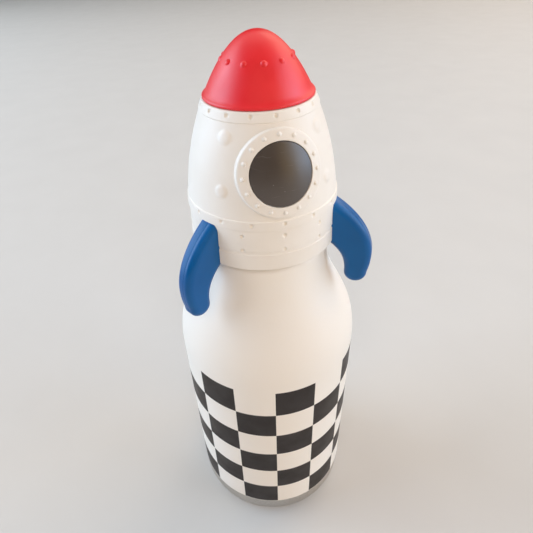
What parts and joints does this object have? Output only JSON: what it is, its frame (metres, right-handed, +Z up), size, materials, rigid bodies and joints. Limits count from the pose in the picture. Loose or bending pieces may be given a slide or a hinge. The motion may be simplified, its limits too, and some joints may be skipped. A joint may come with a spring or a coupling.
{
  "type": "kids water bottle",
  "caption": "Insulated steel kids' water bottle with a black check print and a rocket-shaped screw lid; the round window is a button that frees the hinged nose over the straw spout.",
  "frame": {"origin": "centre of the base, on the plane that the bottle stands on", "axes": "+Z up along the bottle's axis, -Y the way the window faces, +X to the right seen from the front"},
  "size_m": [0.0728, 0.0762, 0.2131],
  "materials": {
    "painted_shell": "satin cream powder coat with a black check print",
    "bare_steel": "brushed stainless steel",
    "cream_plastic": "matte moulded",
    "dark_plastic": "semi-gloss",
    "blue_plastic": "satin moulded",
    "red_silicone": "satin soft-touch",
    "clear_silicone": "frosted",
    "straw_plastic": "frosted",
    "grey_plastic": "matte moulded"
  },
  "bodies": {
    "bottle": {"outer_shell": "painted_shell", "inner_vessel": "bare_steel", "base_cup": "bare_steel", "base_plate": "bare_steel", "vacuum_seal": "bare_steel"},
    "gasket": {"lid_gasket": "clear_silicone"},
    "lid": {"rocket_hull": "cream_plastic", "window_ring": "cream_plastic", "fin_left": "blue_plastic", "fin_right": "blue_plastic", "fin_rear": "blue_plastic", "lid_collar": "cream_plastic", "spout_deck": "cream_plastic", "tube_seal": "clear_silicone", "spout": "clear_silicone", "straw": "straw_plastic", "vent_valve": "clear_silicone", "latch_pin": "bare_steel", "nose_hinge_pin": "bare_steel"},
    "button": {"window_button": "dark_plastic"},
    "latch": {"latch_lever": "grey_plastic", "latch_spring": "bare_steel"},
    "nose": {"nose_cone": "red_silicone", "nose_frame": "grey_plastic", "spout_stopper": "clear_silicone", "nose_spring": "bare_steel"}
  },
  "joints": [
    {"name": "lid_lift", "type": "slide", "parent": "bottle", "child": "gasket", "axis": [0, 0, 1], "range_m": [0, 0.17]},
    {"name": "lid_turn", "type": "hinge", "parent": "gasket", "child": "lid", "pos_m": [0, 0, 0.155], "axis": [0, 0, 1], "range_deg": [0, 450]},
    {"name": "nose_flip", "type": "hinge", "parent": "lid", "child": "nose", "pos_m": [0, 0.0194, 0.1956], "axis": [-1, 0, 0], "range_deg": [0, 120]},
    {"name": "button_press", "type": "slide", "parent": "lid", "child": "button", "axis": [0, 0.9704, -0.2415], "range_m": [0, 0.0015], "stiffness_N_per_m": 800, "springref_m": -0.001},
    {"name": "latch_rock", "type": "hinge", "parent": "lid", "child": "latch", "pos_m": [0, -0.0128, 0.1855], "axis": [1, 0, 0], "range_deg": [0, 10]}
  ],
  "couplings": [
    {"joint": "latch_rock", "follows": "button_press", "rad_per_m": 109}
  ]
}
